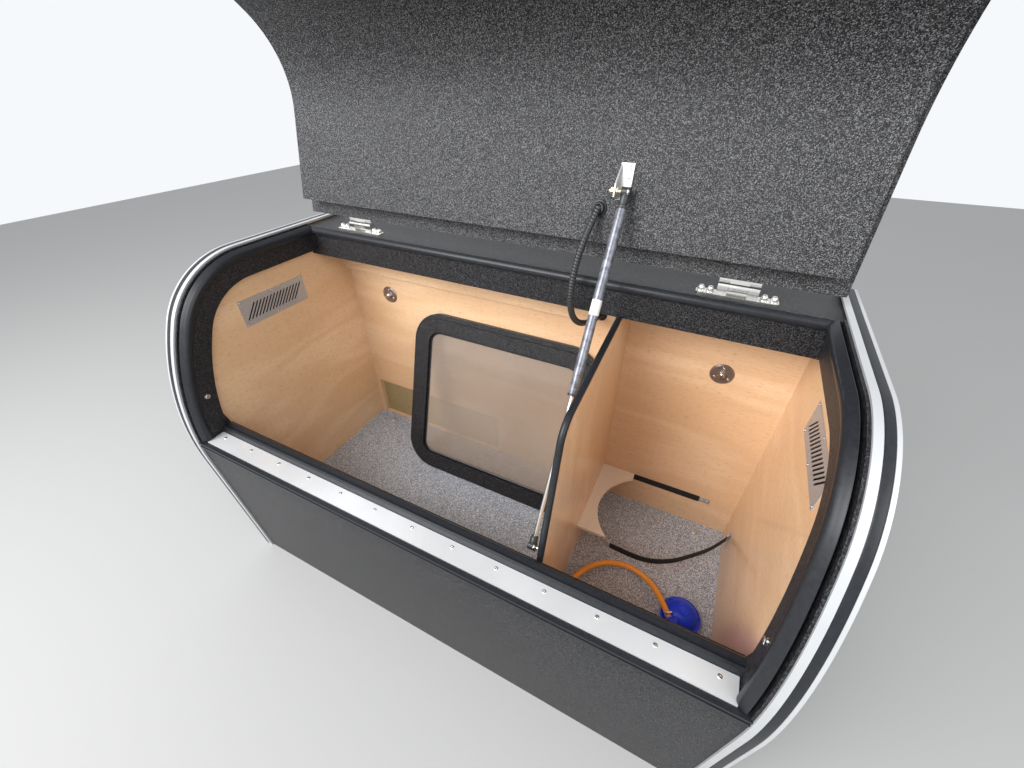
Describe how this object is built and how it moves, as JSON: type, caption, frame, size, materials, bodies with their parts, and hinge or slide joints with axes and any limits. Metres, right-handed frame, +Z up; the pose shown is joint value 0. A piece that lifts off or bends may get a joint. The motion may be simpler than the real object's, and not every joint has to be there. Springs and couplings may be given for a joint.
{
  "type": "front storage locker of a teardrop trailer",
  "caption": "Rounded nose locker of a teardrop trailer: plywood-lined box split by a partition, top-hinged curved lid on a gas strut, rubber seals, vents, gas bottle bracket and hose.",
  "frame": {"origin": "middle of the box's footprint, in the plane of its lower edge", "axes": "+X across the trailer to the gas compartment's side, -Y forward in the direction of travel, +Z up; the lid is open"},
  "size_m": [1.294, 0.62, 1.4713],
  "materials": {
    "plywood": "lacquered plywood",
    "bare_wood": "bare plywood",
    "side_panel": "black textured skin outside, plywood inside",
    "textured_skin": "black hammered texture",
    "painted_steel": "satin black",
    "floor_covering": "speckled grey vinyl",
    "hatch": "satin",
    "trim_aluminium": "satin anodised",
    "sill_aluminium": "brushed",
    "trim_rubber": "satin",
    "seal_rubber": "satin",
    "hinge_chrome": "polished",
    "vent_steel": "brushed",
    "pane": "clear acrylic",
    "webbing": "woven",
    "regulator_blue": "gloss",
    "hose_orange": "satin",
    "cable_black": "satin",
    "strut_tube": "satin grey",
    "strut_rod": "polished",
    "strut_socket": "satin",
    "bracket_zinc": "zinc plated"
  },
  "bodies": {
    "box": {"apron": "textured_skin", "back_wall": "plywood", "bearer_front": "painted_steel", "bearer_rear": "painted_steel", "bottle_bracket": "bare_wood", "cleat": "plywood", "floor_panel": "floor_covering", "front_liner": "plywood", "gas_hose": "hose_orange", "gutter_left": "textured_skin", "gutter_right": "textured_skin", "hatch_panel": "hatch", "hinge_base_left": "hinge_chrome", "hinge_base_right": "hinge_chrome", "hinge_rail": "textured_skin", "hose_gland": "cable_black", "lid_cable": "cable_black", "partition": "plywood", "partition_edging": "trim_rubber", "rail_seal": "seal_rubber", "regulator": "regulator_blue", "side_seal_left": "seal_rubber", "side_seal_right": "seal_rubber", "side_trim_left": "trim_aluminium", "side_trim_right": "trim_aluminium", "side_wall_left": "side_panel", "side_wall_right": "side_panel", "sill_beam": "textured_skin", "sill_plate": "sill_aluminium", "sill_seal": "seal_rubber", "sill_strip": "trim_rubber", "strap_clips": "vent_steel", "strap_front": "webbing", "strap_rear": "webbing", "strikers": "bracket_zinc", "strut_stud": "bracket_zinc", "trim_insert_left": "trim_rubber", "trim_insert_right": "trim_rubber", "vent_left": "vent_steel", "vent_right": "vent_steel", "wall_grommet": "cable_black", "wall_rosettes": "vent_steel", "window_frame": "textured_skin", "window_pane": "pane"},
    "lid": {"lid_panel": "textured_skin", "hinge_leaf_left": "hinge_chrome", "hinge_leaf_right": "hinge_chrome", "lid_grommet": "cable_black", "strut_bracket": "bracket_zinc", "lid_locks": "cable_black"},
    "strut_tube_body": {"strut_tube": "strut_tube", "strut_socket_top": "strut_socket"},
    "strut_rod_body": {"strut_rod": "strut_rod", "strut_socket_low": "strut_socket"}
  },
  "joints": [
    {"name": "lid_hinge", "type": "hinge", "parent": "box", "child": "lid", "pos_m": [0, 0.205, 0.88], "axis": [1, 0, 0], "range_deg": [0, 102.8], "deforming": ["lid_cable"]},
    {"name": "strut_swing", "type": "hinge", "parent": "lid", "child": "strut_tube_body", "pos_m": [0.228, 0.17024, 1.02941], "axis": [1, 0, 0], "range_deg": [-101, 0]},
    {"name": "strut_slide", "type": "slide", "parent": "strut_tube_body", "child": "strut_rod_body", "axis": [0, 0.534, 0.8455], "range_m": [0, 0.25]}
  ],
  "couplings": [
    {"joint": "strut_swing", "follows": "lid_hinge", "ratio": -0.96},
    {"joint": "strut_slide", "follows": "lid_hinge", "m_per_rad": 0.136}
  ]
}
